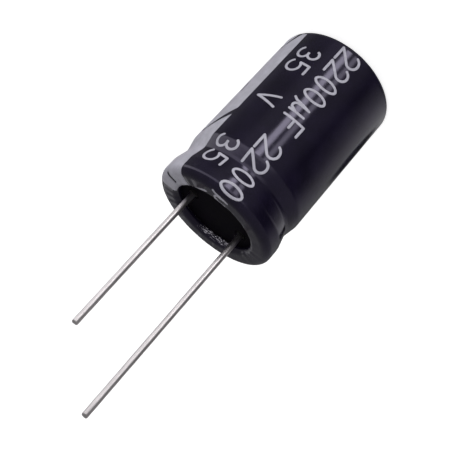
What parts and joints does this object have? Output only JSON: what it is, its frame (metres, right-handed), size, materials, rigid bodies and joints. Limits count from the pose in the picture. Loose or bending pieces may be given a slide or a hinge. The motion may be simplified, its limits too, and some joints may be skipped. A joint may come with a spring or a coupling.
{
  "type": "radial aluminium electrolytic capacitor",
  "caption": "Round can in a dark shrink sleeve with a beaded neck, a rubber bung in the rolled rim and two unequal wire leads.",
  "frame": {"origin": "centre of the closed end, on the plane the capacitor stands on", "axes": "+Z along the can's axis from the closed end to the leads; the positive lead is on +X, the negative lead on -X, and the stripe's middle is turned 14 degrees from -X toward +Y"},
  "size_m": [0.0164, 0.0164, 0.0525],
  "materials": {
    "sleeve_film": "glossy shrunk film",
    "stripe_ink": "printed ink",
    "can_aluminium": "drawn, satin",
    "bung_rubber": "moulded, matt",
    "tinned_wire": "tinned, drawn",
    "terminal_aluminium": "pressed",
    "anode_foil": "etched, dull",
    "cathode_foil": "etched, dull",
    "separator_paper": "soaked paper",
    "tape_film": "smooth film"
  },
  "bodies": {
    "root": {"sleeve": "sleeve_film", "polarity_stripe": "stripe_ink", "can": "can_aluminium", "bung": "bung_rubber", "positive_lead": "tinned_wire", "negative_lead": "tinned_wire", "positive_terminal": "terminal_aluminium", "negative_terminal": "terminal_aluminium", "anode_foil": "anode_foil", "inner_separator": "separator_paper", "cathode_foil": "cathode_foil", "outer_separator": "separator_paper", "closing_tape": "tape_film"}
  },
  "joints": []
}
